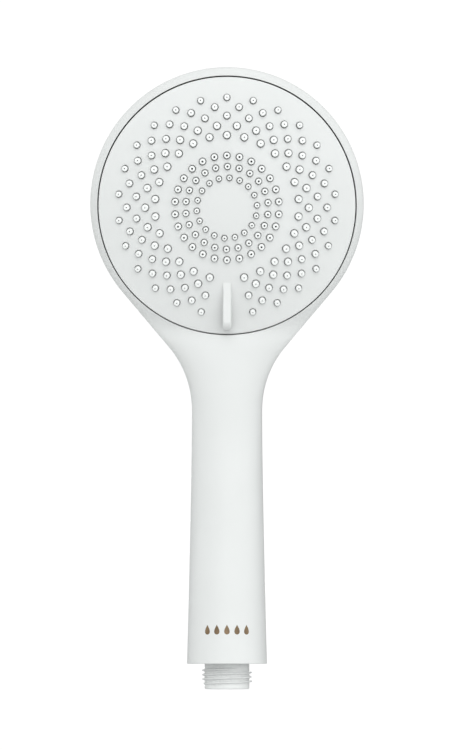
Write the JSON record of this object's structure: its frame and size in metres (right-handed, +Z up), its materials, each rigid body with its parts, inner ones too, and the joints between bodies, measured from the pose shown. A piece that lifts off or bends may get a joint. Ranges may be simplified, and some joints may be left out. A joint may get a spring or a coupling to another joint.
{
  "type": "handheld shower head",
  "caption": "Handheld shower head with a long round handle, a threaded hose nipple and a turning spray face with a selector fin.",
  "frame": {"origin": "centre of the hose nipple's end face", "axes": "+Z up the handle's axis, away from the hose; the spray face looks towards -Y and a little down; +X is the viewer's right when facing the spray"},
  "size_m": [0.1136, 0.0681, 0.2542],
  "materials": {
    "white_shell": "satin white moulded plastic",
    "white_face": "fine matte white moulded plastic",
    "white_nipple": "white moulded plastic",
    "inner_plastic": "off-white moulded plastic",
    "grey_plastic": "grey moulded plastic",
    "silicone": "soft white silicone",
    "black_rubber": "black sealing rubber",
    "steel": "stainless steel"
  },
  "bodies": {
    "handset": {"handle_shell": "white_shell", "hose_connector": "white_nipple", "connector_ring": "black_rubber", "inlet_filter": "steel", "flow_limiter": "grey_plastic", "limiter_ring": "black_rubber", "water_tube": "inner_plastic", "lower_tube_ring": "black_rubber", "upper_tube_ring": "black_rubber", "diverter_base": "inner_plastic", "base_screws": "steel", "port_seal": "black_rubber", "hub_ring": "black_rubber", "centre_washer": "steel", "centre_screw": "steel", "detent_spring": "steel"},
    "spray_face": {"chamber_plate": "inner_plastic", "rim_seal": "black_rubber", "inner_nozzle_mat": "silicone", "outer_nozzle_mat": "silicone", "face_plate": "white_face"}
  },
  "joints": [
    {"name": "face_turn", "type": "hinge", "parent": "handset", "child": "spray_face", "pos_m": [0, -0.03141, 0.19842], "axis": [0, -0.9489, -0.3156], "range_deg": [-30, 30], "deforming": ["detent_spring"]}
  ]
}
